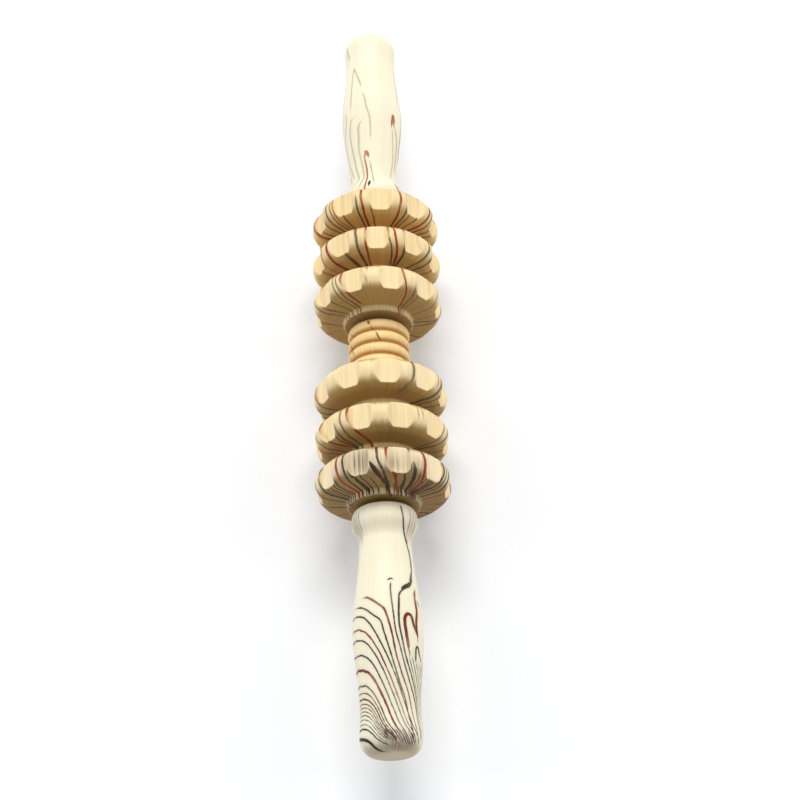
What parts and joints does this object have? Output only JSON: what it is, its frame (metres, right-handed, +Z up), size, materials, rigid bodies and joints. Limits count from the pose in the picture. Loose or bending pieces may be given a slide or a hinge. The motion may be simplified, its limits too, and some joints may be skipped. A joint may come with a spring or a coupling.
{
  "type": "wooden roller massager",
  "caption": "Hand-held wooden massage stick: notched wheels and a ribbed spacer roll freely on an axle between two turned handles.",
  "frame": {"origin": "on the plane that the wheels stand on, midway between the two handles, below the axle", "axes": "+Y along the axle towards the far handle, +Z up, +X to the right"},
  "size_m": [0.062, 0.3832, 0.062],
  "materials": {
    "axle_wood": "plain sanded dowel",
    "handle_wood": "smooth turned pale wood with dark and red marbled veins, satin",
    "wheel_wood": "smooth turned yellowish wood with dark and red marbled veins, satin",
    "spacer_wood": "smooth turned honey-coloured wood, satin"
  },
  "bodies": {
    "stick": {"axle_rod": "axle_wood", "far_handle": "handle_wood", "near_handle": "handle_wood"},
    "wheel_1": {"wheel_1": "wheel_wood"},
    "wheel_2": {"wheel_2": "wheel_wood"},
    "wheel_3": {"wheel_3": "wheel_wood"},
    "wheel_4": {"wheel_4": "wheel_wood"},
    "wheel_5": {"wheel_5": "wheel_wood"},
    "wheel_6": {"wheel_6": "wheel_wood"},
    "spacer": {"ribbed_spacer": "spacer_wood"}
  },
  "joints": [
    {"name": "wheel_1_spin", "type": "hinge", "parent": "stick", "child": "wheel_1", "pos_m": [0, 0.0697, 0.031], "axis": [0, 1, 0], "continuous": true},
    {"name": "wheel_2_spin", "type": "hinge", "parent": "stick", "child": "wheel_2", "pos_m": [0, 0.04735, 0.031], "axis": [0, 1, 0], "continuous": true},
    {"name": "wheel_3_spin", "type": "hinge", "parent": "stick", "child": "wheel_3", "pos_m": [0, 0.025, 0.031], "axis": [0, 1, 0], "continuous": true},
    {"name": "wheel_4_spin", "type": "hinge", "parent": "stick", "child": "wheel_4", "pos_m": [0, -0.025, 0.031], "axis": [0, 1, 0], "continuous": true},
    {"name": "wheel_5_spin", "type": "hinge", "parent": "stick", "child": "wheel_5", "pos_m": [0, -0.04735, 0.031], "axis": [0, 1, 0], "continuous": true},
    {"name": "wheel_6_spin", "type": "hinge", "parent": "stick", "child": "wheel_6", "pos_m": [0, -0.0697, 0.031], "axis": [0, 1, 0], "continuous": true},
    {"name": "spacer_spin", "type": "hinge", "parent": "stick", "child": "spacer", "pos_m": [0, -0.00115, 0.031], "axis": [0, 1, 0], "continuous": true}
  ]
}
